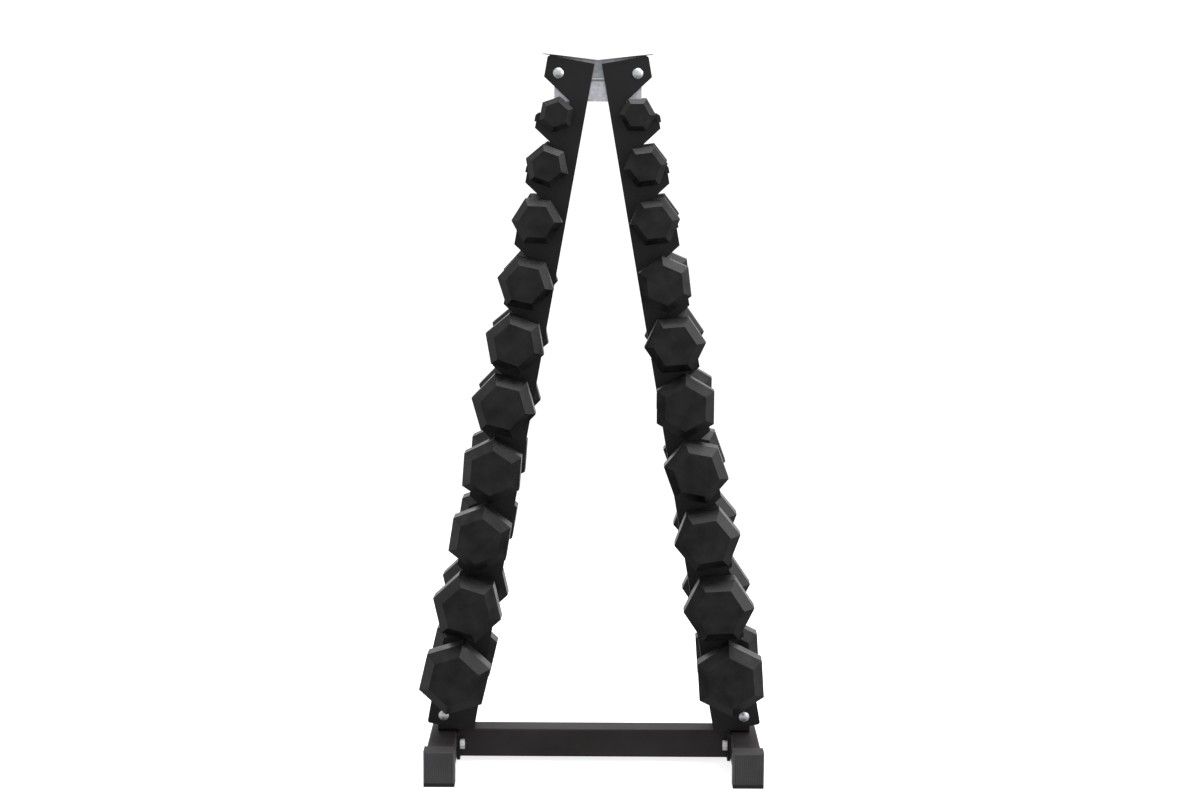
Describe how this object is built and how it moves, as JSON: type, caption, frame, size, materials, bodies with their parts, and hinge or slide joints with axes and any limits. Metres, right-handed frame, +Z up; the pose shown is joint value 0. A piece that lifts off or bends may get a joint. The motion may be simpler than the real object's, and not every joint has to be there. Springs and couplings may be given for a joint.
{
  "type": "loaded dumbbell rack",
  "caption": "Two-sided leaning-leg dumbbell rack with open pockets in each leg, loaded with hexagonal rubber-headed dumbbells graded from small at the top to large at the bottom.",
  "frame": {"origin": "centre of the rack at floor level, under the middle of the bounding box", "axes": "+Z up, -Y towards the front, +X to the right as seen from the front"},
  "size_m": [0.6476, 0.37, 1.3361],
  "materials": {
    "black_powder_coat": "satin black powder coat with a fine texture",
    "galvanised_sheet": "bright galvanised sheet, softly brushed",
    "zinc_fastener": "bright zinc plate",
    "foot_plastic": "matte moulded plastic with fine upright ribs on the end",
    "liner_plastic": "smooth black edging",
    "head_rubber": "matte black moulded rubber",
    "handle_steel": "chromed and knurled handle; the iron blocks on its ends are hidden inside the rubber"
  },
  "bodies": {
    "frame": {"left_front_plate": "black_powder_coat", "left_rear_plate": "black_powder_coat", "left_web": "black_powder_coat", "right_front_plate": "black_powder_coat", "right_rear_plate": "black_powder_coat", "right_web": "black_powder_coat", "left_cradle_liners": "liner_plastic", "right_cradle_liners": "liner_plastic", "top_cap": "galvanised_sheet", "top_tie": "galvanised_sheet", "left_base_tube": "black_powder_coat", "right_base_tube": "black_powder_coat", "crossbar": "black_powder_coat", "crossbar_end_plates": "black_powder_coat", "foot_brackets": "black_powder_coat", "foot_caps": "foot_plastic", "carriage_bolts": "zinc_fastener", "lock_nuts": "zinc_fastener"},
    "dumbbell_left_01": {"dumbbell_left_01_core": "handle_steel", "dumbbell_left_01_rubber": "head_rubber"},
    "dumbbell_left_02": {"dumbbell_left_02_core": "handle_steel", "dumbbell_left_02_rubber": "head_rubber"},
    "dumbbell_left_03": {"dumbbell_left_03_core": "handle_steel", "dumbbell_left_03_rubber": "head_rubber"},
    "dumbbell_left_04": {"dumbbell_left_04_core": "handle_steel", "dumbbell_left_04_rubber": "head_rubber"},
    "dumbbell_left_05": {"dumbbell_left_05_core": "handle_steel", "dumbbell_left_05_rubber": "head_rubber"},
    "dumbbell_left_06": {"dumbbell_left_06_core": "handle_steel", "dumbbell_left_06_rubber": "head_rubber"},
    "dumbbell_left_07": {"dumbbell_left_07_core": "handle_steel", "dumbbell_left_07_rubber": "head_rubber"},
    "dumbbell_left_08": {"dumbbell_left_08_core": "handle_steel", "dumbbell_left_08_rubber": "head_rubber"},
    "dumbbell_left_09": {"dumbbell_left_09_core": "handle_steel", "dumbbell_left_09_rubber": "head_rubber"},
    "dumbbell_left_10": {"dumbbell_left_10_core": "handle_steel", "dumbbell_left_10_rubber": "head_rubber"},
    "dumbbell_right_01": {"dumbbell_right_01_core": "handle_steel", "dumbbell_right_01_rubber": "head_rubber"},
    "dumbbell_right_02": {"dumbbell_right_02_core": "handle_steel", "dumbbell_right_02_rubber": "head_rubber"},
    "dumbbell_right_03": {"dumbbell_right_03_core": "handle_steel", "dumbbell_right_03_rubber": "head_rubber"},
    "dumbbell_right_04": {"dumbbell_right_04_core": "handle_steel", "dumbbell_right_04_rubber": "head_rubber"},
    "dumbbell_right_05": {"dumbbell_right_05_core": "handle_steel", "dumbbell_right_05_rubber": "head_rubber"},
    "dumbbell_right_06": {"dumbbell_right_06_core": "handle_steel", "dumbbell_right_06_rubber": "head_rubber"},
    "dumbbell_right_07": {"dumbbell_right_07_core": "handle_steel", "dumbbell_right_07_rubber": "head_rubber"},
    "dumbbell_right_08": {"dumbbell_right_08_core": "handle_steel", "dumbbell_right_08_rubber": "head_rubber"},
    "dumbbell_right_09": {"dumbbell_right_09_core": "handle_steel", "dumbbell_right_09_rubber": "head_rubber"},
    "dumbbell_right_10": {"dumbbell_right_10_core": "handle_steel", "dumbbell_right_10_rubber": "head_rubber"}
  },
  "joints": [
    {"name": "lift_left_01", "type": "slide", "parent": "frame", "child": "dumbbell_left_01", "axis": [-0.891, 0, 0.454], "range_m": [0, 0.16]},
    {"name": "lift_left_02", "type": "slide", "parent": "frame", "child": "dumbbell_left_02", "axis": [-0.891, 0, 0.454], "range_m": [0, 0.16]},
    {"name": "lift_left_03", "type": "slide", "parent": "frame", "child": "dumbbell_left_03", "axis": [-0.891, 0, 0.454], "range_m": [0, 0.16]},
    {"name": "lift_left_04", "type": "slide", "parent": "frame", "child": "dumbbell_left_04", "axis": [-0.891, 0, 0.454], "range_m": [0, 0.16]},
    {"name": "lift_left_05", "type": "slide", "parent": "frame", "child": "dumbbell_left_05", "axis": [-0.891, 0, 0.454], "range_m": [0, 0.16]},
    {"name": "lift_left_06", "type": "slide", "parent": "frame", "child": "dumbbell_left_06", "axis": [-0.891, 0, 0.454], "range_m": [0, 0.16]},
    {"name": "lift_left_07", "type": "slide", "parent": "frame", "child": "dumbbell_left_07", "axis": [-0.891, 0, 0.454], "range_m": [0, 0.16]},
    {"name": "lift_left_08", "type": "slide", "parent": "frame", "child": "dumbbell_left_08", "axis": [-0.891, 0, 0.454], "range_m": [0, 0.16]},
    {"name": "lift_left_09", "type": "slide", "parent": "frame", "child": "dumbbell_left_09", "axis": [-0.891, 0, 0.454], "range_m": [0, 0.16]},
    {"name": "lift_left_10", "type": "slide", "parent": "frame", "child": "dumbbell_left_10", "axis": [-0.891, 0, 0.454], "range_m": [0, 0.16]},
    {"name": "lift_right_01", "type": "slide", "parent": "frame", "child": "dumbbell_right_01", "axis": [0.891, 0, 0.454], "range_m": [0, 0.16]},
    {"name": "lift_right_02", "type": "slide", "parent": "frame", "child": "dumbbell_right_02", "axis": [0.891, 0, 0.454], "range_m": [0, 0.16]},
    {"name": "lift_right_03", "type": "slide", "parent": "frame", "child": "dumbbell_right_03", "axis": [0.891, 0, 0.454], "range_m": [0, 0.16]},
    {"name": "lift_right_04", "type": "slide", "parent": "frame", "child": "dumbbell_right_04", "axis": [0.891, 0, 0.454], "range_m": [0, 0.16]},
    {"name": "lift_right_05", "type": "slide", "parent": "frame", "child": "dumbbell_right_05", "axis": [0.891, 0, 0.454], "range_m": [0, 0.16]},
    {"name": "lift_right_06", "type": "slide", "parent": "frame", "child": "dumbbell_right_06", "axis": [0.891, 0, 0.454], "range_m": [0, 0.16]},
    {"name": "lift_right_07", "type": "slide", "parent": "frame", "child": "dumbbell_right_07", "axis": [0.891, 0, 0.454], "range_m": [0, 0.16]},
    {"name": "lift_right_08", "type": "slide", "parent": "frame", "child": "dumbbell_right_08", "axis": [0.891, 0, 0.454], "range_m": [0, 0.16]},
    {"name": "lift_right_09", "type": "slide", "parent": "frame", "child": "dumbbell_right_09", "axis": [0.891, 0, 0.454], "range_m": [0, 0.16]},
    {"name": "lift_right_10", "type": "slide", "parent": "frame", "child": "dumbbell_right_10", "axis": [0.891, 0, 0.454], "range_m": [0, 0.16]}
  ]
}
